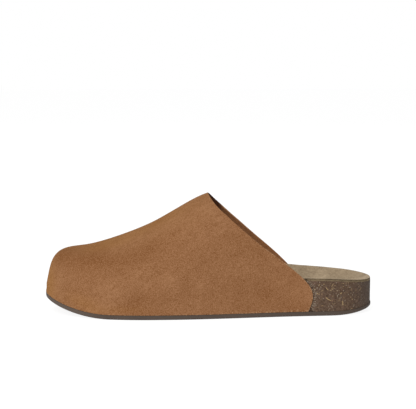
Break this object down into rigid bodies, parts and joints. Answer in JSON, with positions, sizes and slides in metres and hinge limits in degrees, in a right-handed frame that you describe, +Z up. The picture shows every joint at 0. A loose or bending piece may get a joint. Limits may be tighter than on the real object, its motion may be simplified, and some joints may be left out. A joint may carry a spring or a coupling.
{
  "type": "closed-toe slip-on clog",
  "caption": "Left slip-on clog with a one-piece suede upper that closes over the toe and leaves the heel open, on a cork footbed with a suede-covered insole and a thin rolled outsole.",
  "frame": {"origin": "on the floor under the middle of the shoe's bounding box", "axes": "+X from the toe to the heel, +Y towards the inner side of the foot, +Z up"},
  "size_m": [0.28, 0.102, 0.1009],
  "materials": {
    "outsole": "matt grey-brown foamed rubber",
    "midsole": "dark agglomerated cork with paler flecks, sealed and matt",
    "insole": "fine beige suede",
    "upper": "tan suede with a short brushed nap"
  },
  "bodies": {
    "root": {"outsole": "outsole", "midsole": "midsole", "insole": "insole", "upper": "upper"}
  },
  "joints": []
}
